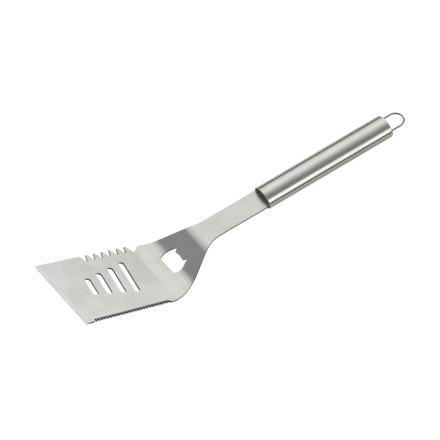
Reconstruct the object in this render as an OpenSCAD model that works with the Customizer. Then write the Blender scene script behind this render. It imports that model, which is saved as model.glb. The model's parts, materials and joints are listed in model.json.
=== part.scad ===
// Grill spatula: a stamped and bent steel blade on a hollow oval handle.
// All pieces are drawn in the sheet frame first: the blade lies flat on z = 0,
// its heel (where the neck starts to rise) is at x = 0 and the handle runs
// towards +X. The finished model is then laid down as it rests on a table, on
// its heel and on the rear end of its handle.

/* [Blade] */
// Length of the flat blade, from the front edge to the corner of the heel bend
blade_l = 148; // [120:1:185]
// Width across the front edge
blade_w = 96.5; // [85:0.5:120]
// How much the toothed side draws in towards the neck
blade_taper = 5.5; // [0:0.5:8]
// Thickness of the stainless sheet
sheet_t = 2; // [1:0.1:2.6]
// Width of the ground bevel on the front edge
bevel_l = 4.6; // [3:0.1:10]
// Thickness left at the front edge
edge_t = 0.4; // [0.3:0.05:0.8]

/* [Drain slots] */
// Number of slanted slots
slot_count = 4; // [2:1:5]
// Width of a slot
slot_w = 7.2; // [5:0.1:9]
// Distance between slot centres, along the blade
slot_pitch = 18.1; // [14:0.1:22]
// Distance from the heel to the centre of the last slot
slot_heel_gap = 49.5; // [40:0.5:60]
// Overall length of the last and longest slot
slot_l = 47.5; // [36:0.5:52]
// How much each slot is shorter than the one behind it
slot_step = 7.1; // [2:0.1:9]
// Lean of the slots away from the width of the blade, in degrees
slot_lean = 12.2; // [0:0.1:20]

/* [Tenderising teeth] */
// Number of teeth on the far side
tooth_count = 6; // [3:1:8]
// Distance between two teeth
tooth_pitch = 10.75; // [9:0.05:13]
// Depth of the notches between them
tooth_depth = 10.9; // [6:0.1:14]
// Width of the blunt tip of a tooth
tooth_tip = 1.9; // [0.6:0.1:3]
// Radius at the bottom of a notch
notch_r = 0.7; // [0.4:0.1:1.5]
// Distance from the last notch to the shoulder behind it
shoulder_run = 9.5; // [7:0.1:14]
// Distance from the heel to the shoulder
shoulder_gap = 7.8; // [6:0.1:20]
// How much lower the shoulder is than the teeth
shoulder_drop = 3.5; // [0:0.1:6]
// Radius of the shoulder
shoulder_r = 2.5; // [1:0.1:3]

/* [Serrated edge] */
// Number of serrations on the near side
serration_count = 27; // [12:1:34]
// Distance between two serrations
serration_pitch = 4.05; // [3:0.05:4.3]
// Depth of a serration
serration_depth = 3.4; // [1:0.1:3.5]
// Length of the small flat at their tips and roots
serration_flat = 0.5; // [0.2:0.1:1.2]
// Distance from the heel to the last serration
serration_gap = 27.5; // [26:0.5:40]

/* [Neck] */
// Slope of the rising part of the neck against the blade, in degrees
rise_angle = 47; // [38:0.5:55]
// Slope of the shank and handle against the blade, in degrees
shank_angle = 23.9; // [16:0.1:32]
// Length of the rising part, between the corners of its two bends
rise_l = 54; // [48:0.5:66]
// Outside radius of the heel bend
heel_r = 42; // [30:0.5:44]
// Inside radius of the crest bend
crest_r = 40; // [20:1:60]
// Plan angle of the near edge that leads in to the shank, in degrees
near_angle = 39; // [34:0.5:44]
// Plan angle of the far edge that leads in to the shank, in degrees
far_angle = 28; // [24:0.5:36]
// Distance from the heel back to where the near side and that edge would meet
corner_gap = 2.4; // [0:0.1:8]
// Radius that rounds them, as far as the serrations leave room for it
corner_r = 70; // [20:1:80]
// Radius of the hollow where the neck runs out in to the shank
throat_r = 38; // [10:1:60]

/* [Shank] */
// Play between each edge of the shank and the inside of the handle tube
shank_play = 0.2; // [0.1:0.05:1.5]
// Length of the shank, from the corner of the crest bend to the handle
shank_l = 84.5; // [60:0.5:120]
// Width of the tang that goes through the front cap
tang_w = 16; // [10:0.5:20]
// Length of the tang inside the handle
tang_l = 38; // [20:1:80]

/* [Bottle opener] */
// Distance along the rising part from its lower corner to the straight edge
opener_gap = 5.9; // [4.5:0.1:9]
// How far the hole sits towards the serrated side
opener_shift = 2; // [0:0.1:3]
// Length of the straight edge
opener_base_w = 24.4; // [20:0.2:27]
// Greatest width of the hole
opener_w = 28.6; // [27.5:0.2:32]
// Height of the hole up to the ends of its two notches
opener_h = 20.3; // [18:0.1:23]
// Distance between the outer ends of the notches
opener_notch_w = 20.6; // [18:0.2:24]
// Distance between the two prong tips
opener_prong_w = 12.8; // [10:0.2:15]
// Height of the widest place above the straight edge
opener_wide_h = 6.6; // [5:0.1:9]
// How far the prongs reach back in to the hole
opener_prong_l = 3.4; // [2:0.1:5]

/* [Handle] */
// Length of the handle with its rear cap
handle_l = 167.5; // [130:0.5:210]
// Width of the oval handle
handle_w = 29.2; // [24:0.1:36]
// Height of the oval handle
handle_h = 22; // [16:0.1:26]
// Wall of the handle tube, at its sides
handle_wall = 1; // [0.8:0.05:1.4]
// Radius of the rounded front rim
rim_r = 0.75; // [0.3:0.05:0.75]
// Depth from the front rim to the front cap
rim_recess = 1.4; // [0.8:0.1:3]
// Thickness of the front cap
cap_t = 1.5; // [1:0.1:3]
// Length of the rear cap
rear_cap_l = 5; // [4:0.5:9]
// Wall of the rear cap, and of the skirt that goes in to the tube
rear_cap_wall = 1.2; // [0.8:0.1:1.6]
// Length of that skirt
skirt_l = 4; // [2:0.5:8]
// Radius of the rounded rear edge
rear_edge_r = 2.6; // [1.5:0.1:3.5]
// Play between two pieces that go one in the other
fit_gap = 0.08; // [0.05:0.01:0.12]

/* [Hanging loop] */
// Diameter of the wire
wire_d = 2.3; // [1.8:0.1:3]
// Distance between the middles of the two legs
loop_w = 18.6; // [12:0.2:20]
// How far the loop stands out of the handle
loop_reach = 23; // [20:0.5:40]
// Length of the legs inside the handle
loop_leg_in = 12; // [8:1:25]

/* [Hidden] */
$fn = 72;
// The sides of the opener hole are drawn to a corner this much wider, then rounded
opener_bulge = 1.6;
// Steps in a rounded stretch of an outline
arc_n = 14;
// Overshoot of a cut past the surface it goes through
over = 5;

half_w = blade_w / 2;
shank_w = handle_w - 2 * (handle_wall + shank_play);
half_shank = shank_w / 2;

// Lengths between the corner of a bend and the ends of its arc
heel_run = heel_r * tan(rise_angle / 2);
crest_run = crest_r * tan((rise_angle - shank_angle) / 2);

// Corner of the crest bend, on the underside of the sheet
crest = rise_l * [cos(rise_angle), sin(rise_angle)];
crest_centre = crest
    - crest_run * [cos(rise_angle), sin(rise_angle)]
    + crest_r * [sin(rise_angle), -cos(rise_angle)];

// Middle of the handle's front face, at half the thickness of the shank
handle_x = crest[0] + shank_l * cos(shank_angle) - sheet_t / 2 * sin(shank_angle);
handle_z = crest[1] + shank_l * sin(shank_angle) + sheet_t / 2 * cos(shank_angle);

// Resting attitude: the table touches the heel arc and the rounded rear edge
rear_x = handle_l - rear_edge_r;
rear_z = rear_edge_r - handle_h / 2;
rear_dx = handle_x + rear_x * cos(shank_angle) - rear_z * sin(shank_angle) + heel_run;
rear_dz = handle_z + rear_x * sin(shank_angle) + rear_z * cos(shank_angle) - heel_r;
rest_tilt = atan2(rear_dz, rear_dx)
    - asin((rear_edge_r - heel_r) / norm([rear_dx, rear_dz]));
rest_drop = heel_run * sin(rest_tilt) + heel_r * cos(rest_tilt) - heel_r;
loop_end_x = handle_l + loop_reach;
rest_min_x = -blade_l * cos(rest_tilt);
rest_max_x = (handle_x + (loop_end_x - wire_d / 2) * cos(shank_angle)) * cos(rest_tilt)
    + (handle_z + (loop_end_x - wire_d / 2) * sin(shank_angle)) * sin(rest_tilt)
    + wire_d / 2;

// Points of an arc of radius r that rounds the corner b between a and c
function unit(v) = v / norm(v);
function rounded(a, b, c, r, n = arc_n) =
    let (u = unit(a - b), v = unit(c - b),
         half = acos(u * v) / 2,
         m = b + unit(u + v) * r / sin(half),
         s = b + u * r / tan(half) - m,
         e = b + v * r / tan(half) - m,
         sweep = 180 - 2 * half,
         side = sign(s[0] * e[1] - s[1] * e[0]))
    [for (i = [0 : n])
        let (q = side * sweep * i / n)
        m + [s[0] * cos(q) - s[1] * sin(q), s[0] * sin(q) + s[1] * cos(q)]];

// The far side: a straight edge that draws in, y at a given x
function far_y(x) = half_w - blade_taper * (x + blade_l) / (blade_l - shoulder_gap);

// Far outline, from the front corner to the shank
last_notch_x = -shoulder_gap - shoulder_run;
first_notch_x = last_notch_x - tooth_count * tooth_pitch;
notch_run = (tooth_pitch - tooth_tip) / 2;
function notch(x) =
    let (y = far_y(x),
         a = [x - notch_run, far_y(x - notch_run)],
         b = [x, y - tooth_depth],
         c = [x + notch_run, far_y(x + notch_run)])
    concat([a], rounded(a, b, c, notch_r, 4), [c]);
shoulder = [-shoulder_gap, far_y(-shoulder_gap) - shoulder_drop];
last_notch = [last_notch_x, far_y(last_notch_x) - tooth_depth];
far_throat_x = shoulder[0] + (shoulder[1] - half_shank) / tan(far_angle);
plan_end_x = handle_x + tang_l;
far_side = concat(
    [[-blade_l, half_w]],
    [for (i = [0 : tooth_count - 1]) each notch(first_notch_x + i * tooth_pitch)],
    [last_notch - [notch_run, -tooth_depth]],
    rounded(last_notch - [notch_run, -tooth_depth], last_notch, shoulder, notch_r, 4),
    rounded(last_notch, shoulder, [far_throat_x, half_shank], shoulder_r, 6),
    rounded(shoulder, [far_throat_x, half_shank], [plan_end_x, half_shank], throat_r));

// Near outline, from the front corner to the shank
near_throat_x = -corner_gap + (half_w - half_shank) / tan(near_angle);
corner_room = serration_gap - corner_gap - fit_gap;
corner_round = min(corner_r, corner_room / tan(near_angle / 2));
serration_start_x = -serration_gap - serration_count * serration_pitch;
near_side = concat(
    [[-blade_l, -half_w]],
    [for (i = [0 : serration_count - 1])
        let (x = serration_start_x + i * serration_pitch)
        each [[x, -half_w],
              [x + serration_flat, -half_w],
              [x + serration_pitch / 2, -half_w + serration_depth],
              [x + serration_pitch / 2 + serration_flat, -half_w + serration_depth]]],
    [[-serration_gap, -half_w]],
    rounded([-blade_l, -half_w], [-corner_gap, -half_w],
            [near_throat_x, -half_shank], corner_round),
    rounded([-corner_gap, -half_w], [near_throat_x, -half_shank],
            [plan_end_x, -half_shank], throat_r));

function reversed(list) = [for (i = [len(list) - 1 : -1 : 0]) list[i]];

// Lays a piece down from the sheet frame to its resting attitude
module at_rest() {
    translate([-(rest_min_x + rest_max_x) / 2, 0, -rest_drop])
        rotate([0, rest_tilt, 0])
            children();
}

// Local frame of the rising part: X up the slope, Z out of the top
module on_rise() {
    rotate([0, -rise_angle, 0]) children();
}

// Local frame of the handle: X along it, Z towards its top
module on_handle() {
    translate([handle_x, 0, handle_z])
        rotate([0, -shank_angle, 0])
            children();
}

// The corner of a bend on the top of the sheet, above corner p of its underside,
// where the slope changes from a to b
function top_corner(p, a, b) = p
    + sheet_t / cos((b - a) / 2) * [-sin((a + b) / 2), cos((a + b) / 2)];

// Side profile of the sheet, from the front edge to the end of the tang
module sheet_profile() {
    uphill = [cos(shank_angle), sin(shank_angle)];
    square_up = [-sin(shank_angle), cos(shank_angle)];
    heel = [0, 0];
    heel_top = top_corner(heel, 0, rise_angle);
    crest_top = top_corner(crest, rise_angle, shank_angle);
    tang_end = crest + (shank_l + rim_recess + tang_l) * uphill;
    tang_end_top = tang_end + sheet_t * square_up;
    front = [-blade_l, 0];
    front_top = [-blade_l, sheet_t];
    polygon(concat(
        [front],
        rounded(front, heel, crest, heel_r),
        rounded(heel, crest, tang_end, crest_r),
        [tang_end, tang_end_top],
        reversed(rounded(heel_top, crest_top, tang_end_top, crest_r + sheet_t)),
        reversed(rounded(front_top, heel_top, crest_top, heel_r - sheet_t)),
        [front_top]));
}

// Outline of the sheet seen from above
module plan() {
    polygon(concat(far_side,
        [[plan_end_x, half_shank], [plan_end_x, -half_shank]],
        reversed(near_side)));
}

module drain_slots() {
    for (i = [0 : slot_count - 1]) {
        half_l = (slot_l - slot_w - i * slot_step) / 2;
        translate([-slot_heel_gap - i * slot_pitch, 0, -over])
            rotate(-slot_lean)
                linear_extrude(over * 2 + sheet_t) {
                    square([slot_w, half_l * 2], center = true);
                    translate([0, half_l]) circle(d = slot_w);
                    translate([0, -half_l]) circle(d = slot_w);
                }
    }
}

// Outline of the opener hole: u up the slope, v across
module opener_outline() {
    side_r = 13;
    notch_w = 1.6;
    notch_end_r = 0.6;
    prong_r = 0.5;
    tongue_rise = 1;
    top = opener_gap + opener_h;
    low = [opener_gap, opener_base_w / 2];
    wide = [opener_gap + opener_wide_h, opener_w / 2 + opener_bulge];
    high = [top, opener_notch_w / 2];
    cut = [top, opener_notch_w / 2 - notch_w];
    prong = [top - opener_prong_l, opener_prong_w / 2];
    tongue = [top - opener_prong_l + tongue_rise, 0];
    upper = concat(
        [low],
        rounded(low, wide, high, side_r, 12),
        rounded(wide, high, cut, notch_end_r, 4),
        [cut],
        rounded(cut, prong, tongue, prong_r, 3),
        [tongue]);
    polygon(concat(upper, [for (p = reversed(upper)) [p[0], -p[1]]]));
}

module blade() {
    color([0.80, 0.80, 0.78]) at_rest() difference() {
        intersection() {
            rotate([90, 0, 0]) linear_extrude(blade_w + 2 * over, center = true)
                sheet_profile();
            translate([0, 0, -over]) linear_extrude(handle_z + tang_l + over)
                plan_with_tang();
        }
        drain_slots();
        on_rise() translate([0, -opener_shift, -over])
            linear_extrude(over * 2 + sheet_t) opener_outline();
        // Ground bevel along the front edge
        rotate([90, 0, 0]) linear_extrude(blade_w + 4 * over, center = true)
            polygon([[-blade_l - over, edge_t - (sheet_t - edge_t) * over / bevel_l],
                     [-blade_l + bevel_l, sheet_t],
                     [-blade_l + bevel_l, sheet_t + over],
                     [-blade_l - over, sheet_t + over]]);
        // The tang is narrower than the shank and starts just before the front cap
        on_handle() for (side = [-1, 1])
            translate([rim_recess - fit_gap, side * (tang_w + shank_w) / 2, 0])
                translate([tang_l, 0, 0])
                    cube([tang_l * 2, shank_w, sheet_t * 4], center = true);
    }
}

module plan_with_tang() {
    plan();
    translate([handle_x, -half_shank]) square([tang_l + over, shank_w]);
}

// An oval across the handle, drawn in all round by a given amount
module oval(inset = 0) {
    scale([handle_w / 2 - inset, handle_h / 2 - inset]) circle(r = 1);
}

// A block across the handle whose far edge is rounded off: its flat back is at
// the start, and it runs l along the extrusion
module rounded_block(l, r, steps = 4) {
    slice = 0.01;
    hull() {
        linear_extrude(l - r) oval($fn = 48);
        for (i = [1 : steps])
            translate([0, 0, l - r + r * sin(90 * i / steps) - slice])
                linear_extrude(slice) oval(r * (1 - cos(90 * i / steps)), $fn = 48);
    }
}

// Turns an extrusion to run along the handle
module along() {
    rotate([90, 0, 90]) children();
}

tube_l = handle_l - rear_cap_l;
rim_l = 3 * rim_r;

module handle_tube() {
    color([0.72, 0.72, 0.71]) at_rest() on_handle() along() difference() {
        union() {
            translate([0, 0, rim_l]) linear_extrude(tube_l - rim_l) oval();
            translate([0, 0, rim_l]) mirror([0, 0, 1]) rounded_block(rim_l, rim_r);
        }
        translate([0, 0, -over]) linear_extrude(handle_l + over) oval(handle_wall);
    }
}

module front_cap() {
    color([0.55, 0.55, 0.55]) at_rest() on_handle() along() difference() {
        translate([0, 0, rim_recess]) linear_extrude(cap_t) oval(handle_wall + fit_gap);
        translate([0, 0, rim_recess - over]) linear_extrude(cap_t + 2 * over)
            square([tang_w + 2 * fit_gap, sheet_t + 2 * fit_gap], center = true);
    }
}

module rear_cap() {
    skirt_inset = handle_wall + fit_gap;
    color([0.72, 0.72, 0.71]) at_rest() on_handle() along() difference() {
        union() {
            translate([0, 0, tube_l]) rounded_block(rear_cap_l, rear_edge_r);
            translate([0, 0, tube_l - skirt_l]) linear_extrude(skirt_l) oval(skirt_inset);
        }
        translate([0, 0, tube_l - skirt_l - over])
            linear_extrude(over + skirt_l + rear_cap_l - rear_cap_wall)
                oval(skirt_inset + rear_cap_wall);
        for (side = [-1, 1])
            translate([side * loop_w / 2, 0, tube_l])
                cylinder(d = wire_d + 2 * fit_gap, h = rear_cap_l + over);
    }
}

module hanging_loop() {
    bend_x = handle_l + loop_reach - wire_d / 2 - loop_w / 2;
    leg_l = bend_x - handle_l + rear_cap_l + loop_leg_in;
    color([0.85, 0.85, 0.86]) at_rest() on_handle() {
        for (side = [-1, 1])
            translate([bend_x - leg_l, side * loop_w / 2, 0]) rotate([0, 90, 0])
                cylinder(d = wire_d, h = leg_l);
        translate([bend_x, 0, 0]) rotate(-90) rotate_extrude(angle = 180)
            translate([loop_w / 2, 0]) circle(d = wire_d);
    }
}

blade();
handle_tube();
front_cap();
rear_cap();
hanging_loop();
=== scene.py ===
import json
import math

import bmesh
import bpy
from mathutils import Matrix, Vector


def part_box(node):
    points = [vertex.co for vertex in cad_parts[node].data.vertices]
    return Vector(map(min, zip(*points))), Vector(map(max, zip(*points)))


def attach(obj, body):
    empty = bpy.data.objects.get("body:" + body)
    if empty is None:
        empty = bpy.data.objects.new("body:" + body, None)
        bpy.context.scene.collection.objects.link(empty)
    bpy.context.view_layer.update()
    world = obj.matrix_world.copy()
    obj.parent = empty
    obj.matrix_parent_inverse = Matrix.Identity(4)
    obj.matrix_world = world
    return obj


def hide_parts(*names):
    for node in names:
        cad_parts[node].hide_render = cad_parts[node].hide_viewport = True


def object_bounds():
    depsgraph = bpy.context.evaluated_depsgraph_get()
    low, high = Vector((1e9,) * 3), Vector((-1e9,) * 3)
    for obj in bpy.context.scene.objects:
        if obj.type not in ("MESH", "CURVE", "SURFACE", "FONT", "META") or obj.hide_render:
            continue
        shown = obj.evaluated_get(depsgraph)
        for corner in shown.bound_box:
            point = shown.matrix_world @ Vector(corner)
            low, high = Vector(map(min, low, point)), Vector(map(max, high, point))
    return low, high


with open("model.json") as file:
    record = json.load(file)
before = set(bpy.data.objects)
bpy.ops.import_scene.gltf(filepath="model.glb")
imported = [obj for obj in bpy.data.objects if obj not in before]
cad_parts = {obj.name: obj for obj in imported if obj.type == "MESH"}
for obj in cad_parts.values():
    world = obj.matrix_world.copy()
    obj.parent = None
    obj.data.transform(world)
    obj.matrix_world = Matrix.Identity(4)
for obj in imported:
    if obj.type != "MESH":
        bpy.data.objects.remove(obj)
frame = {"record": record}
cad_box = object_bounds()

MM = 0.001

# ---------------------------------------------------------------------------
# BLADE, NECK, SHANK AND TANG
# One blank of 2 mm stainless sheet, laser-cut with its slots, teeth,
# serrations and opener hole, belt-brushed along its length, ground to a bevel on
# the front edge, then bent up at the heel and back down at the crest.
# ---------------------------------------------------------------------------

# Sizes in millimetres, in the sheet frame: the blade lies flat on z = 0, the
# corner of the heel bend is at x = 0 and the handle runs towards +X
blade_l, blade_w, blade_taper = 148.0, 96.5, 5.5
sheet_t, bevel_l, edge_t = 2.0, 4.6, 0.4
slot_count, slot_w, slot_pitch, slot_heel_gap = 4, 7.2, 18.1, 49.5
slot_l, slot_step, slot_lean = 47.5, 7.1, math.radians(12.2)
tooth_count, tooth_pitch, tooth_depth, tooth_tip = 6, 10.75, 10.9, 1.9
notch_r, shoulder_run, shoulder_gap, shoulder_drop, shoulder_r = 0.7, 9.5, 7.8, 3.5, 2.5
serration_count, serration_pitch, serration_depth = 27, 4.05, 3.4
serration_flat, serration_gap = 0.5, 27.5
rise_angle, shank_angle = math.radians(47), math.radians(23.9)
rise_l, heel_r, crest_r = 54.0, 42.0, 40.0
near_angle, far_angle = math.radians(39), math.radians(28)
corner_gap, corner_r, throat_r = 2.4, 70.0, 38.0
shank_w, shank_l, tang_w, tang_l = 26.8, 84.5, 16.0, 38.0
opener_gap, opener_shift, opener_base_w, opener_w, opener_h = 5.9, 2.0, 24.4, 28.6, 20.3
opener_notch_w, opener_prong_w, opener_prong_l = 20.6, 12.8, 3.4
opener_wide_h, opener_bulge, opener_side_r = 6.6, 1.6, 13.0
handle_w, handle_h, handle_wall, handle_l = 29.2, 22.0, 1.0, 167.5
rim_recess, cap_t, fit_gap = 1.4, 1.5, 0.08
edge_round = 0.07

# The resting attitude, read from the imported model: the blade's underside gives
# the tilt, and the front edge gives the place
under = next(m for m in frame["record"]["mounts"] if m["name"] == "blade_underside")
tilt = math.atan2(-under["axis"][0], -under["axis"][2])
rest_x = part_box("blade")[0][0] / MM + blade_l * math.cos(tilt)
rest_z = (under["pos_m"][2] + (under["pos_m"][0] - rest_x * MM) * math.tan(tilt)) / MM
lay_down = (
    Matrix.Translation((rest_x * MM, 0, rest_z * MM))
    @ Matrix.Rotation(tilt, 4, "Y")
    @ Matrix.Scale(MM, 4)
)


# The bent line of the sheet's middle: (length, turn) of each stretch in order
heel_run = heel_r * math.tan(rise_angle / 2)
crest_turn = rise_angle - shank_angle
crest_run = crest_r * math.tan(crest_turn / 2)
stretches = [
    (blade_l - heel_run, 0),
    ((heel_r - sheet_t / 2) * rise_angle, rise_angle),
    (rise_l - heel_run - crest_run, 0),
    ((crest_r + sheet_t / 2) * crest_turn, -crest_turn),
    (shank_l - crest_run + rim_recess + tang_l, 0),
]
sheet_length = sum(length for length, _ in stretches)


def on_sheet(s):
    """Place (x, z) and slope of the sheet's middle, s along it from the front edge."""
    x, z, slope = -blade_l, sheet_t / 2, 0.0
    for length, turn in stretches:
        step = min(s, length)
        if turn:
            radius = length / turn
            new = slope + step / radius
            x += radius * (math.sin(new) - math.sin(slope))
            z += radius * (math.cos(slope) - math.cos(new))
            slope = new
        else:
            x += step * math.cos(slope)
            z += step * math.sin(slope)
        s -= step
        if s <= 0:
            break
    return x, z, slope


def along_sheet(x):
    """How far along the sheet its middle reaches plan position x."""
    low, high = 0.0, sheet_length
    for _ in range(40):
        mid = (low + high) / 2
        low, high = (mid, high) if on_sheet(mid)[0] < x else (low, mid)
    return (low + high) / 2


def rounded(a, b, c, r, n=10):
    """Points of an arc of radius r that rounds the corner b between a and c."""
    a, b, c = Vector(a), Vector(b), Vector(c)
    u, v = (a - b).normalized(), (c - b).normalized()
    half = math.acos(max(-1, min(1, u.dot(v)))) / 2
    middle = b + (u + v).normalized() * r / math.sin(half)
    spoke = b + u * r / math.tan(half) - middle
    side = 1 if spoke.cross(b + v * r / math.tan(half) - middle) > 0 else -1
    turns = [side * (math.pi - 2 * half) * i / n for i in range(n + 1)]
    return [tuple(middle + Matrix.Rotation(q, 2) @ spoke) for q in turns]


half_w, half_shank = blade_w / 2, shank_w / 2


def far_y(x):
    """The toothed side, which draws in slightly towards the neck."""
    return half_w - blade_taper * (x + blade_l) / (blade_l - shoulder_gap)


def far_outline():
    """Front corner, notches and teeth, shoulder, and the sweep in to the shank."""
    run = (tooth_pitch - tooth_tip) / 2
    last = -shoulder_gap - shoulder_run
    points = [(-blade_l, half_w)]
    for i in range(tooth_count):
        x = last - (tooth_count - i) * tooth_pitch
        a, b = (x - run, far_y(x - run)), (x, far_y(x) - tooth_depth)
        c = (x + run, far_y(x + run))
        points += [a, *rounded(a, b, c, notch_r, 5), c]
    a, b = (last - run, far_y(last)), (last, far_y(last) - tooth_depth)
    shoulder = (-shoulder_gap, far_y(-shoulder_gap) - shoulder_drop)
    throat = (shoulder[0] + (shoulder[1] - half_shank) / math.tan(far_angle), half_shank)
    end = (handle_x, half_shank)
    points += [a, *rounded(a, b, shoulder, notch_r, 5)]
    points += rounded(b, shoulder, throat, shoulder_r, 6)
    return points + rounded(shoulder, throat, end, throat_r, 14)


def near_outline():
    """Front corner, serrations, the rounded rear corner and the sweep in."""
    points = [(-blade_l, -half_w)]
    start = -serration_gap - serration_count * serration_pitch
    for i in range(serration_count):
        x = start + i * serration_pitch
        middle, root = x + serration_pitch / 2, -half_w + serration_depth
        points += [(x, -half_w), (x + serration_flat, -half_w)]
        points += [(middle, root), (middle + serration_flat, root)]
    points += [(-serration_gap, -half_w)]
    corner = (-corner_gap, -half_w)
    throat = (-corner_gap + (half_w - half_shank) / math.tan(near_angle), -half_shank)
    points += rounded((-blade_l, -half_w), corner, throat, corner_r, 24)
    return points + rounded(corner, throat, (handle_x, -half_shank), throat_r, 14)


def slot_outline(i):
    """One drain slot with round ends; each is shorter than the one behind it."""
    reach = (slot_l - slot_w - i * slot_step) / 2
    middle = Vector((-slot_heel_gap - i * slot_pitch, 0))
    turn = Matrix.Rotation(-slot_lean, 2)
    ends = []
    for k in range(32):
        q = 2 * math.pi * (k + 0.5) / 32
        side = reach if math.sin(q) > 0 else -reach
        around = Vector((math.cos(q), math.sin(q))) * slot_w / 2
        ends.append(tuple(middle + turn @ (around + Vector((0, side)))))
    return ends


def opener_outline():
    """The opener hole: straight sill, bulging sides, two notches and two prongs."""
    notch_w, notch_end_r, prong_r, tongue_rise = 1.6, 0.6, 0.5, 1.0
    top = opener_gap + opener_h
    sill = (opener_gap, opener_base_w / 2)
    wide = (opener_gap + opener_wide_h, opener_w / 2 + opener_bulge)
    high = (top, opener_notch_w / 2)
    cut = (top, opener_notch_w / 2 - notch_w)
    prong = (top - opener_prong_l, opener_prong_w / 2)
    tongue = (top - opener_prong_l + tongue_rise, 0)
    side = [sill, *rounded(sill, wide, high, opener_side_r, 12)]
    side += rounded(wide, high, cut, notch_end_r, 4)
    side += [cut, *rounded(cut, prong, tongue, prong_r, 4), tongue]
    return side + [(u, -v) for u, v in reversed(side[:-1])]


handle_x = (
    rise_l * math.cos(rise_angle)
    + shank_l * math.cos(shank_angle)
    - sheet_t / 2 * math.sin(shank_angle)
)
handle_z = (
    rise_l * math.sin(rise_angle)
    + shank_l * math.sin(shank_angle)
    + sheet_t / 2 * math.cos(shank_angle)
)
tang_start = sheet_length - tang_l - fit_gap
rise_start = stretches[0][0] + stretches[1][0] - heel_run
blank = [(along_sheet(x), y) for x, y in far_outline()]
blank += [(tang_start, half_shank), (tang_start, tang_w / 2), (sheet_length, tang_w / 2)]
blank += [(sheet_length, -tang_w / 2), (tang_start, -tang_w / 2)]
blank += [(tang_start, -half_shank)]
blank += [(along_sheet(x), y) for x, y in reversed(near_outline())]
holes = [
    [(along_sheet(x), y) for x, y in slot_outline(i)] for i in range(slot_count)
]
holes += [[(rise_start + u, v - opener_shift) for u, v in opener_outline()]]


def cut_plate(outline, cuts, thickness, round_r):
    """A flat plate with openings, whose upper and lower edges are slightly rounded."""
    flat = bmesh.new()
    rims = []
    for loop in [outline, *cuts]:
        corners = [flat.verts.new((x, y, 0)) for x, y in loop]
        rims.append(corners)
        for i, corner in enumerate(corners):
            flat.edges.new((corners[i - 1], corner))
    bmesh.ops.triangle_fill(flat, edges=flat.edges[:], use_beauty=True)
    flat.verts.index_update()
    plate = bmesh.new()
    lower = [plate.verts.new(v.co) for v in flat.verts]
    upper = [plate.verts.new(v.co + Vector((0, 0, thickness))) for v in flat.verts]
    for face in flat.faces:
        plate.faces.new([upper[v.index] for v in face.verts])
        plate.faces.new([lower[v.index] for v in reversed(face.verts)])
    edges = []
    for corners in rims:
        for i, corner in enumerate(corners):
            a, b = corners[i - 1].index, corner.index
            plate.faces.new((lower[a], lower[b], upper[b], upper[a]))
            edges += [plate.edges.get((lower[a], lower[b]))]
            edges += [plate.edges.get((upper[a], upper[b]))]
    flat.free()
    bmesh.ops.recalc_face_normals(plate, faces=plate.faces[:])
    bmesh.ops.bevel(
        plate, geom=edges, offset=round_r, segments=2, profile=0.5,
        affect="EDGES", clamp_overlap=False,
    )
    return plate


def plate_normal(face, vert):
    """Normal at a corner of a plate: faces stay flat, walls and rounded edges blend."""
    if abs(face.normal.z) > 0.99:
        return face.normal.copy()
    wall = abs(face.normal.z) < 0.02
    if not wall:
        caps = [f for f in vert.link_faces if abs(f.normal.z) > 0.99]
        if caps:
            return caps[0].normal.copy()
    walls = [f for f in vert.link_faces if abs(f.normal.z) < 0.02]
    near = [f for f in walls if f.normal.dot(face.normal) > (0.8 if wall else 0.3)]
    if not near:
        return face.normal.copy()
    return sum((f.normal for f in near), Vector()).normalized()


def bend(point):
    """A point (s, y, height) of the flat blank, carried to the bent sheet."""
    x, z, slope = on_sheet(point.x)
    bevel = max(0, 1 - point.x / bevel_l) * (sheet_t - edge_t)
    height = point.z * (1 - bevel / sheet_t) - sheet_t / 2
    return Vector((x - height * math.sin(slope), point.y, z + height * math.cos(slope)))


def bend_normal(normal, s):
    """A normal of the flat blank, turned with the sheet."""
    return Matrix.Rotation(-on_sheet(s)[2], 3, "Y") @ normal


def srgb(text):
    """A sRGB hex colour as linear values."""
    parts = [int(text[i:i + 2], 16) / 255 for i in (1, 3, 5)]
    return [c / 12.92 if c < 0.04045 else ((c + 0.055) / 1.055) ** 2.4 for c in parts] + [1]


def add(tree, kind, settings=None, links=None):
    """Adds a node, sets its properties and inputs, and links its inputs."""
    node = tree.nodes.new(kind)
    for key, value in (settings or {}).items():
        if isinstance(key, str) and hasattr(node, key):
            setattr(node, key, value)
        else:
            node.inputs[key].default_value = value
    for key, source in (links or {}).items():
        tree.links.new(source, node.inputs[key])
    return node


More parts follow.
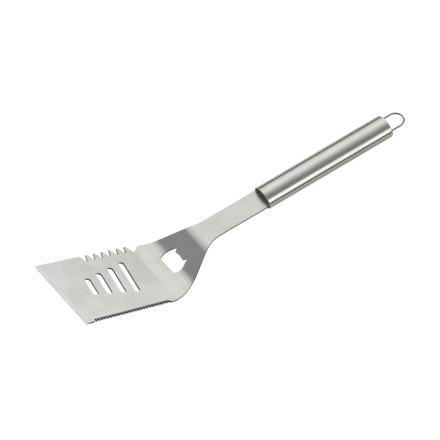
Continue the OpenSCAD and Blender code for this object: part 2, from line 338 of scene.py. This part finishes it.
def steel(name, colour, roughness, grain, cloud, relief, anisotropy, layout):
    """Stainless steel with a brushed or polished face.

    grain is (length, spacing) of the brush marks in mm, cloud the size of the soft
    patches that handling leaves, relief the depth of the marks in mm, and layout
    the UV layer: U across the marks and V along them, both in metres.
    """
    material = bpy.data.materials.new(name)
    material.use_nodes = True
    tree = material.node_tree
    shader = tree.nodes["Principled BSDF"]
    uv = add(tree, "ShaderNodeUVMap", {"uv_map": layout})
    length, spacing = grain
    stretch = add(
        tree, "ShaderNodeVectorMath",
        {"operation": "MULTIPLY", 1: (1 / (spacing * MM), 1 / (length * MM), 1)},
        {0: uv.outputs["UV"]},
    )
    marks = add(
        tree, "ShaderNodeTexNoise",
        {"Scale": 1.0, "Detail": 3.0, "Roughness": 0.6},
        {"Vector": stretch.outputs[0]},
    )
    place = add(tree, "ShaderNodeTexCoord")
    patches = add(
        tree, "ShaderNodeTexNoise",
        {"Scale": 1 / (cloud * MM), "Detail": 2.0, "Roughness": 0.5},
        {"Vector": place.outputs["Object"]},
    )
    both = add(
        tree, "ShaderNodeMath",
        {"operation": "ADD", "use_clamp": False},
        {0: marks.outputs["Fac"], 1: patches.outputs["Fac"]},
    )
    tint = add(
        tree, "ShaderNodeMapRange",
        {"From Min": 0.7, "From Max": 1.3, "To Min": 0.0, "To Max": 1.0},
        {"Value": both.outputs[0]},
    )
    dark = [c * 0.88 for c in srgb(colour)[:3]] + [1]
    blend = add(
        tree, "ShaderNodeMix",
        {"data_type": "RGBA", 6: dark, 7: srgb(colour)},
        {0: tint.outputs[0]},
    )
    gloss = add(
        tree, "ShaderNodeMapRange",
        {"From Min": 0.7, "From Max": 1.3,
         "To Min": roughness * 1.12, "To Max": roughness * 0.9},
        {"Value": both.outputs[0]},
    )
    bump = add(
        tree, "ShaderNodeBump",
        {"Strength": 0.5, "Distance": relief * MM},
        {"Height": marks.outputs["Fac"]},
    )
    tree.links.new(blend.outputs[2], shader.inputs["Base Color"])
    tree.links.new(gloss.outputs[0], shader.inputs["Roughness"])
    tree.links.new(bump.outputs[0], shader.inputs["Normal"])
    shader.inputs["Metallic"].default_value = 1.0
    if anisotropy:
        shader.inputs["Anisotropic"].default_value = anisotropy
        tangent = add(tree, "ShaderNodeTangent", {"direction_type": "UV_MAP"})
        tangent.uv_map = layout
        tree.links.new(tangent.outputs[0], shader.inputs["Tangent"])
    return material


# Belt-brushed stainless: a soft grey-white sheen that runs with the length.
# Real marks are about 0.1 mm apart; they are drawn 0.8 mm apart so that they show.
brushed_sheet = steel(
    "brushed_stainless_sheet", "#e4e2dd", 0.33, (45, 0.8), 28, 0.004, 0.6, "flat",
)
# The same sheet ground across the front edge: a little smoother, marks turned across
ground_edge = steel(
    "ground_front_bevel", "#dddddc", 0.30, (0.8, 9), 20, 0.003, 0.0, "flat",
)
# Laser-cut edge: matt, with fine marks square to the sheet; the dull grey of cut oxide is
# darkened to nearly black as painted shade
cut_edge_painted_shade = steel(
    "laser_cut_edge_painted_shade", "#0d0d0c", 0.5, (0.5, 6), 10, 0.006, 0.0, "flat",
)

# Tops of the serrations: duller than the blade, and coloured darker as painted shade for the
# dark serrated band
serration_painted_shade = steel(
    "serration_tops_painted_shade", "#8e8e92", 0.42, (0.5, 6), 10, 0.006, 0.0, "flat",
)

plate = cut_plate(blank, holes, sheet_t, edge_round)
stations = [bevel_l]
walked = 0.0
for length, turn in stretches:
    if turn:
        steps = max(8, round(abs(math.degrees(turn)) / 2.5))
        stations += [walked + length * i / steps for i in range(steps + 1)]
    walked += length
for s in stations:
    geometry = plate.verts[:] + plate.edges[:] + plate.faces[:]
    bmesh.ops.bisect_plane(
        plate, geom=geometry, dist=1e-5, plane_co=(s, 0, 0), plane_no=(1, 0, 0),
    )
geometry = plate.verts[:] + plate.edges[:] + plate.faces[:]
root_line = -half_w + serration_depth
bmesh.ops.bisect_plane(
    plate, geom=geometry, dist=1e-5, plane_co=(0, root_line, 0), plane_no=(0, 1, 0),
)
plate.normal_update()


def plate_to_piece(name, plate, materials, choose, carry, turn, place, layout):
    """Turns a plate in to an object, with a flat layout in UV and exact normals."""
    mesh = bpy.data.meshes.new(name)
    normals = []
    spots = []
    for face in plate.faces:
        face.smooth = True
        face.material_index = choose(face)
        for vert in face.verts:
            inward = vert.co.lerp(face.calc_center_median(), 0.01)
            normals.append(turn(plate_normal(face, vert), inward.x))
            up = vert.co.z if abs(face.normal.z) < 0.3 else 0
            spots.append(((vert.co.y + up) * MM, vert.co.x * MM))
    for vert in plate.verts:
        vert.co = carry(vert.co.copy())
    plate.normal_update()
    # The ground bevel is one flat face, so it keeps its own normal after the bend
    corner = 0
    for face in plate.faces:
        if face.material_index == 1:
            flat_corners = [face.normal.copy()] * len(face.verts)
            normals[corner:corner + len(face.verts)] = flat_corners
        corner += len(face.verts)
    plate.to_mesh(mesh)
    plate.free()
    uv = mesh.uv_layers.new(name=layout)
    for spot, value in zip(uv.data, spots):
        spot.uv = value
    for material in materials:
        mesh.materials.append(material)
    mesh.transform(place)
    mesh.update()
    turned = place.to_3x3().normalized()
    mesh.normals_split_custom_set([(turned @ n).normalized() for n in normals])
    piece = bpy.data.objects.new(name, mesh)
    bpy.context.scene.collection.objects.link(piece)
    return piece


def blade_finish(face):
    """0 brushed, 1 ground bevel, 2 cut edge in painted shade, 3 serration tops in painted
    shade.
    """
    if abs(face.normal.z) < 0.3:
        # Cut edges take the nearly black material, darkened as painted shade
        return 2
    middle = face.calc_center_median()
    behind = blade_l - middle.x - serration_gap
    # The serrated band gets the darker serration material, coloured as painted shade
    if middle.y < root_line and 0 < behind < serration_count * serration_pitch:
        return 3
    return 1 if face.normal.z > 0.99 and middle.x < bevel_l else 0


blade = plate_to_piece(
    "blade_sheet", plate, [brushed_sheet, ground_edge, cut_edge_painted_shade, serration_painted_shade],
    blade_finish, bend, bend_normal, lay_down, "flat",
)
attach(blade, "root")
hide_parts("blade")

# ---------------------------------------------------------------------------
# FRONT CAP
# A small stainless plate that closes the front of the handle. It is pressed in
# to the tube, the tang goes through its slot, and it is welded from inside.
# ---------------------------------------------------------------------------

handle_frame = (
    lay_down
    @ Matrix.Translation((handle_x, 0, handle_z))
    @ Matrix.Rotation(-shank_angle, 4, "Y")
)


def oval(inset, n=96):
    """Points (y, z) of the handle's oval, drawn in all round by inset."""
    a, b = handle_w / 2 - inset, handle_h / 2 - inset
    turns = [2 * math.pi * k / n for k in range(n)]
    return [(a * math.cos(q), b * math.sin(q)) for q in turns]


# Cap plate: coloured darker than the tube as painted shade for its recess in the tube, with
# soft reflections
cap_face_painted_shade = steel(
    "cap_plate_painted_shade", "#77756f", 0.16, (12, 1.2), 9, 0.0002, 0.0, "flat",
)
half_tang, half_gap = tang_w / 2 + fit_gap, sheet_t / 2 + fit_gap
tang_slot = [(half_tang, half_gap), (-half_tang, half_gap)]
tang_slot += [(-half_tang, -half_gap), (half_tang, -half_gap)]
cap_plate = cut_plate(oval(handle_wall + fit_gap), [tang_slot], cap_t, 0.2)
across = handle_frame @ Matrix(
    ((0, 0, 1, rim_recess), (1, 0, 0, 0), (0, 1, 0, 0), (0, 0, 0, 1))
)
front_cap = plate_to_piece(
    "front_cap_plate", cap_plate, [cap_face_painted_shade], lambda face: 0,
    lambda point: point, lambda normal, s: normal, across, "flat",
)
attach(front_cap, "root")
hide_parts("front_cap")

# ---------------------------------------------------------------------------
# HANDLE TUBE
# An oval tube of 1 mm stainless, satin-finished round its girth, with a full
# round lip at the front, which is buffed. The front cap sits inside it.
# ---------------------------------------------------------------------------

rear_cap_l, rear_edge_r, rear_cap_wall, skirt_l = 5.0, 2.6, 1.2, 4.0
tube_l = handle_l - rear_cap_l


def skin(name, rings, materials, choose, place, layout, sharp=math.radians(50)):
    """A closed tube wall through rings of (x, inset), in order round the section."""
    mesh = bpy.data.meshes.new(name)
    n = 96
    verts = []
    for x, inset in rings:
        verts += [(x, y, z) for y, z in oval(inset, n)]
    faces = []
    for i in range(len(rings)):
        j = (i + 1) % len(rings)
        for k in range(n):
            m = (k + 1) % n
            faces.append((i * n + k, i * n + m, j * n + m, j * n + k))
    mesh.from_pydata(verts, [], faces)
    uv = mesh.uv_layers.new(name=layout)
    girth = math.pi * (handle_w + handle_h) / 2
    for face in mesh.polygons:
        i, k = divmod(face.index, n)
        face.material_index = choose(i)
        for corner, step in zip(face.loop_indices, (0, 1, 1, 0)):
            x = mesh.vertices[mesh.loops[corner].vertex_index].co.x
            uv.data[corner].uv = (x * MM, girth * (k + step) / n * MM)
    for material in materials:
        mesh.materials.append(material)
    mesh.transform(place)
    mesh.shade_smooth()
    mesh.set_sharp_from_angle(angle=sharp)
    shell = bmesh.new()
    shell.from_mesh(mesh)
    bmesh.ops.recalc_face_normals(shell, faces=shell.faces[:])
    shell.to_mesh(mesh)
    shell.free()
    piece = bpy.data.objects.new(name, mesh)
    bpy.context.scene.collection.objects.link(piece)
    return piece


# Satin stainless: fine marks that run round the girth, and reflections that they
# smear one way. Real marks are finer; they are drawn 0.9 mm apart so that they show.
satin_tube = steel(
    "satin_stainless_tube", "#dfddd8", 0.25, (14, 0.9), 30, 0.0015, 0.75, "girth",
)
# Buffed lip, with soft reflections: coloured the palest steel here, partly its real buffed
# brightness and partly a painted highlight on the rim
buffed_lip_painted_highlight = steel(
    "buffed_tube_lip_painted_highlight", "#f2f1ef", 0.38, (6, 1.2), 9, 0.0002, 0.0, "girth",
)
lip_r = handle_wall / 2
lip_steps = 10
tube_rings = [(tube_l, handle_wall), (rim_recess + cap_t, handle_wall)]
tube_rings += [(2 * lip_r, handle_wall)]
for i in range(lip_steps + 1):
    q = math.pi * i / lip_steps
    tube_rings.append((lip_r - lip_r * math.sin(q), lip_r + lip_r * math.cos(q)))
lip_end = len(tube_rings)
plain_from = 2.0
tube_rings += [(x, 0) for x in (1.2, plain_from)]
tube_rings += [(plain_from + (tube_l - plain_from) * i / 12, 0) for i in range(1, 13)]
tube = skin(
    "handle_tube_shell", tube_rings, [satin_tube, buffed_lip_painted_highlight],
    lambda i: 1 if i < lip_end - 1 else 0, handle_frame, "girth",
)
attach(tube, "root")
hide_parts("handle_tube")

# ---------------------------------------------------------------------------
# REAR CAP
# A deep-drawn stainless cup that closes the rear of the handle. Its skirt is
# pressed in to the tube, the joint is welded and ground flush, and two holes in
# its flat end let the legs of the hanging loop in.
# ---------------------------------------------------------------------------

wire_d, loop_w, loop_reach, loop_leg_in = 2.3, 18.6, 23.0, 12.0
skirt_inset = handle_wall + fit_gap
cup_inset = skirt_inset + rear_cap_wall
edge_steps = 10
cup_rings = [(tube_l, 0), (tube_l + 1.2, 0), (handle_l - rear_edge_r - 0.4, 0)]
for i in range(edge_steps + 1):
    q = math.pi / 2 * i / edge_steps
    cup_rings.append(
        (handle_l - rear_edge_r + rear_edge_r * math.sin(q),
         rear_edge_r - rear_edge_r * math.cos(q))
    )
end_ring_inset = 0.3
cup_rings.append((handle_l, rear_edge_r + end_ring_inset))
outer_end = len(cup_rings)
cup_rings += [(handle_l - rear_cap_wall, cup_inset + 0.5)]
cup_rings += [(handle_l - rear_cap_wall - 0.5, cup_inset)]
cup_rings += [(tube_l - skirt_l, cup_inset), (tube_l - skirt_l, skirt_inset)]
cup_rings += [(tube_l, skirt_inset)]


def circle(y, z, r, n=24):
    """Points of a circle in the handle's cross section."""
    turns = [2 * math.pi * k / n for k in range(n)]
    return [(y + r * math.cos(q), z + r * math.sin(q)) for q in turns]


rear_cap = skin(
    "rear_cap_cup", cup_rings, [satin_tube], lambda i: 0, handle_frame, "girth",
)
# The ring of quads across the flat end is opened, and the end is filled again
# with its two wire holes
cup = bmesh.new()
cup.from_mesh(rear_cap.data)
cup.faces.ensure_lookup_table()
cup.verts.ensure_lookup_table()
bridge = [f for f in cup.faces if f.index // 96 == outer_end - 1]
outer_rim = [cup.verts[(outer_end - 1) * 96 + k] for k in range(96)]
inner_rim = [cup.verts[outer_end * 96 + k] for k in range(96)]
bmesh.ops.delete(cup, geom=bridge, context="FACES_ONLY")
layout_uv = cup.loops.layers.uv["girth"]
hole_r = wire_d / 2 + fit_gap
hole_rims = []
for rim, depth in ((outer_rim, handle_l), (inner_rim, handle_l - rear_cap_wall)):
    loops = [rim]
    for side in (-1, 1):
        spots = circle(side * loop_w / 2, 0, hole_r)
        loops.append([cup.verts.new(handle_frame @ Vector((depth, *p))) for p in spots])
    hole_rims.append(loops[1:])
    edges = []
    for loop in loops:
        for i, corner in enumerate(loop):
            pair = (loop[i - 1], corner)
            edges.append(cup.edges.get(pair) or cup.edges.new(pair))
    filled = bmesh.ops.triangle_fill(cup, edges=edges, use_beauty=True)
    into_handle = handle_frame.inverted()
    for face in filled["geom"]:
        if isinstance(face, bmesh.types.BMFace):
            for corner in face.loops:
                spot = into_handle @ corner.vert.co
                corner[layout_uv].uv = (spot.y * MM, spot.z * MM)
for outer, inner in zip(*hole_rims):
    for i in range(len(outer)):
        cup.faces.new((outer[i - 1], outer[i], inner[i], inner[i - 1])).smooth = True
bmesh.ops.recalc_face_normals(cup, faces=cup.faces[:])
cup.to_mesh(rear_cap.data)
cup.free()
rear_cap.data.set_sharp_from_angle(angle=math.radians(50))
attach(rear_cap, "root")
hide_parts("rear_cap")

# ---------------------------------------------------------------------------
# HANGING LOOP
# A bright-drawn stainless wire bent to a loop. Both legs go through the rear cap
# and are welded inside it, so the loop doesn't move.
# ---------------------------------------------------------------------------

# Bright-drawn stainless wire: close to a mirror, and greyer than the sheet
drawn_wire = steel(
    "bright_drawn_wire", "#a3a19d", 0.08, (12, 1.2), 9, 0.0002, 0.0, "flat",
)
bend_r = loop_w / 2
bend_x = handle_l + loop_reach - wire_d / 2 - bend_r
leg_start = handle_l - rear_cap_l - loop_leg_in
route = []
for i in range(9):
    route.append((leg_start + (bend_x - leg_start) * i / 8, -bend_r, 0.0))
for i in range(1, 48):
    q = -math.pi / 2 + math.pi * i / 48
    route.append((bend_x + bend_r * math.cos(q), bend_r * math.sin(q), q + math.pi / 2))
for i in range(9):
    route.append((bend_x + (leg_start - bend_x) * i / 8, bend_r, math.pi))
wire_sides = 20
wire = bmesh.new()
wire_uv = wire.loops.layers.uv.new("flat")
rings = []
run = [0.0]
for i, (x, y, heading) in enumerate(route):
    sideways = Vector((-math.sin(heading), math.cos(heading), 0))
    ring = []
    for k in range(wire_sides):
        q = 2 * math.pi * k / wire_sides
        offset = sideways * math.cos(q) + Vector((0, 0, 1)) * math.sin(q)
        ring.append(wire.verts.new(Vector((x, y, 0)) + offset * wire_d / 2))
    rings.append(ring)
    if i:
        run.append(run[-1] + math.hypot(x - route[i - 1][0], y - route[i - 1][1]))
for i in range(1, len(rings)):
    for k in range(wire_sides):
        m = (k + 1) % wire_sides
        face = wire.faces.new((rings[i - 1][k], rings[i - 1][m], rings[i][m], rings[i][k]))
        face.smooth = True
        girth = [math.pi * wire_d * j / wire_sides for j in (k, k + 1, k + 1, k)]
        steps = (run[i - 1], run[i - 1], run[i], run[i])
        for corner, u, v in zip(face.loops, girth, steps):
            corner[wire_uv].uv = (u * MM, v * MM)
for ring in (rings[0], rings[-1]):
    wire.faces.new(ring)
bmesh.ops.recalc_face_normals(wire, faces=wire.faces[:])
wire_mesh = bpy.data.meshes.new("hanging_loop_wire")
wire.to_mesh(wire_mesh)
wire.free()
wire_mesh.materials.append(drawn_wire)
wire_mesh.transform(handle_frame)
wire_mesh.set_sharp_from_angle(angle=math.radians(50))
loop = bpy.data.objects.new("hanging_loop_wire", wire_mesh)
bpy.context.scene.collection.objects.link(loop)
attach(loop, "root")
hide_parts("hanging_loop")

# ---------------------------------------------------------------------------
# STUDIO
# A pale matt floor that glows slightly, a dim studio sky with soft light panels,
# cards that only reflections show, two of them standing, and a long-lens camera.
# ---------------------------------------------------------------------------


def towards(azimuth, elevation):
    """Unit vector at an azimuth from +X and an elevation, in degrees."""
    a, e = math.radians(azimuth), math.radians(elevation)
    return Vector((math.cos(a) * math.cos(e), math.sin(a) * math.cos(e), math.sin(e)))


world = bpy.data.worlds.new("studio")
bpy.context.scene.world = world
world.use_nodes = True
sky = world.node_tree
sky.nodes.clear()
ray = add(sky, "ShaderNodeTexCoord").outputs["Generated"]


def panel(azimuth, elevation, width, height, soft_w, soft_h, strength):
    """A diffused light panel: half sizes and soft margins in degrees."""
    axis = towards(azimuth, elevation)
    right = Vector((0, 0, 1)).cross(axis).normalized()
    up = axis.cross(right)
    depth = add(sky, "ShaderNodeVectorMath", {"operation": "DOT_PRODUCT", 1: axis}, {0: ray})
    masks = [add(sky, "ShaderNodeMath", {"operation": "GREATER_THAN", 1: 0.0},
                 {0: depth.outputs["Value"]})]
    for side, half, soft in ((right, width, soft_w), (up, height, soft_h)):
        dot = add(sky, "ShaderNodeVectorMath", {"operation": "DOT_PRODUCT", 1: side}, {0: ray})
        angle = add(sky, "ShaderNodeMath", {"operation": "ARCTAN2"},
                    {0: dot.outputs["Value"], 1: depth.outputs["Value"]})
        size = add(sky, "ShaderNodeMath", {"operation": "ABSOLUTE"}, {0: angle.outputs[0]})
        masks.append(add(
            sky, "ShaderNodeMapRange",
            {"interpolation_type": "SMOOTHSTEP",
             "From Min": math.radians(half - soft), "From Max": math.radians(half + soft),
             "To Min": 1.0, "To Max": 0.0},
            {"Value": size.outputs[0]},
        ))
    level = strength
    for mask in masks:
        level = add(sky, "ShaderNodeMath", {"operation": "MULTIPLY", 0: strength},
                    {1: mask.outputs[0]} if level is strength
                    else {0: level, 1: mask.outputs[0]}).outputs[0]
    return level


ambient = 0.165
total = None
for settings in (
    (48, 42, 24, 30, 22, 24, 0.92),
    (28, 14, 20, 14, 14, 12, 0.62),
    (93, 53, 13, 18, 4, 8, 0.62),
    (-66, 25, 40, 18, 16, 5, 1.35),
    (-25, 66, 24, 22, 20, 20, 0.13),
    (152, 18, 24, 14, 6, 5, 1.5),
):
    light = panel(*settings)
    base = {0: ambient} if total is None else {}
    links = {1: light} if total is None else {0: total, 1: light}
    total = add(sky, "ShaderNodeMath", {"operation": "ADD", **base}, links).outputs[0]
background = add(sky, "ShaderNodeBackground", {"Color": srgb("#fdfdff")}, {"Strength": total})
add(sky, "ShaderNodeOutputWorld", {}, {"Surface": background.outputs[0]})

floor_mesh = bpy.data.meshes.new("floor")
floor_r, floor_drop = 12.0, 0.0003
floor_bm = bmesh.new()
bmesh.ops.create_circle(floor_bm, cap_ends=True, segments=96, radius=floor_r)
bmesh.ops.translate(floor_bm, verts=floor_bm.verts[:], vec=(0, 0, -floor_drop))
floor_bm.to_mesh(floor_mesh)
floor_bm.free()
floor = bpy.data.objects.new("floor", floor_mesh)
bpy.context.scene.collection.objects.link(floor)
# Matt white studio sweep, lifted a little so that it stays pale
paper = bpy.data.materials.new("white_studio_paper")
paper.use_nodes = True
paper_shader = paper.node_tree.nodes["Principled BSDF"]
paper_shader.inputs["Base Color"].default_value = srgb("#f2f2f1")
paper_shader.inputs["Roughness"].default_value = 0.9
paper_shader.inputs["Emission Color"].default_value = srgb("#ffffff")
paper_shader.inputs["Emission Strength"].default_value = 0.74
floor_mesh.materials.append(paper)


def card(name, colour, corners, glow=0.0):
    """A matt card that only reflections show; glow lifts a pale one in the shade."""
    mesh = bpy.data.meshes.new(name)
    mesh.from_pydata(corners, [], [(0, 1, 2, 3)])
    piece = bpy.data.objects.new(name, mesh)
    bpy.context.scene.collection.objects.link(piece)
    felt = bpy.data.materials.new(name + "_felt")
    felt.use_nodes = True
    shader = felt.node_tree.nodes["Principled BSDF"]
    shader.inputs["Base Color"].default_value = srgb(colour)
    shader.inputs["Roughness"].default_value = 0.9
    shader.inputs["Emission Color"].default_value = srgb(colour)
    shader.inputs["Emission Strength"].default_value = glow
    mesh.materials.append(felt)
    piece.visible_camera = False
    piece.visible_diffuse = False
    piece.visible_shadow = False


card_half = 0.5
for name, y, height in (("near_card", -0.2, 0.058), ("far_card", 0.36, 0.11)):
    card(name, "#1c1b1a", [
        (-card_half, y, 0), (card_half, y, 0), (card_half, y, height), (-card_half, y, height),
    ])
card("low_card", "#1c1b1a", [
    (-card_half, -0.2, 0), (card_half, -0.2, 0), (card_half, -0.13, 0), (-card_half, -0.13, 0),
])
card("table_card", "#e8e6e2", [
    (-card_half, -0.13, 0), (card_half, -0.13, 0), (card_half, 0.12, 0), (-card_half, 0.12, 0),
], glow=0.09)

azimuth, elevation, roll = (math.radians(a) for a in (-33.468, 53.769, -3.198))
back = Vector((
    math.sin(azimuth) * math.cos(elevation),
    -math.cos(azimuth) * math.cos(elevation),
    math.sin(elevation),
))
level = Vector((0, 0, 1)).cross(back).normalized()
right = level * math.cos(roll) + back.cross(level) * math.sin(roll)
up = back.cross(right)
lens, sensor, view_width = 1200.0, 36.0, 440 / 0.92 * MM
distance = view_width * lens / sensor
low, high = (Vector(corner) for corner in cad_box)
target = (low + high) / 2 - right * 14.08 * MM - up * 13.10 * MM
camera_data = bpy.data.cameras.new("camera")
camera_data.lens = lens
camera_data.sensor_width = sensor
camera_data.clip_end = 100
camera = bpy.data.objects.new("camera", camera_data)
camera.matrix_world = Matrix.Translation(target + back * distance) @ Matrix(
    (right, up, back)
).transposed().to_4x4()
bpy.context.scene.collection.objects.link(camera)
bpy.context.scene.camera = camera
bpy.context.scene.view_settings.view_transform = "Standard"
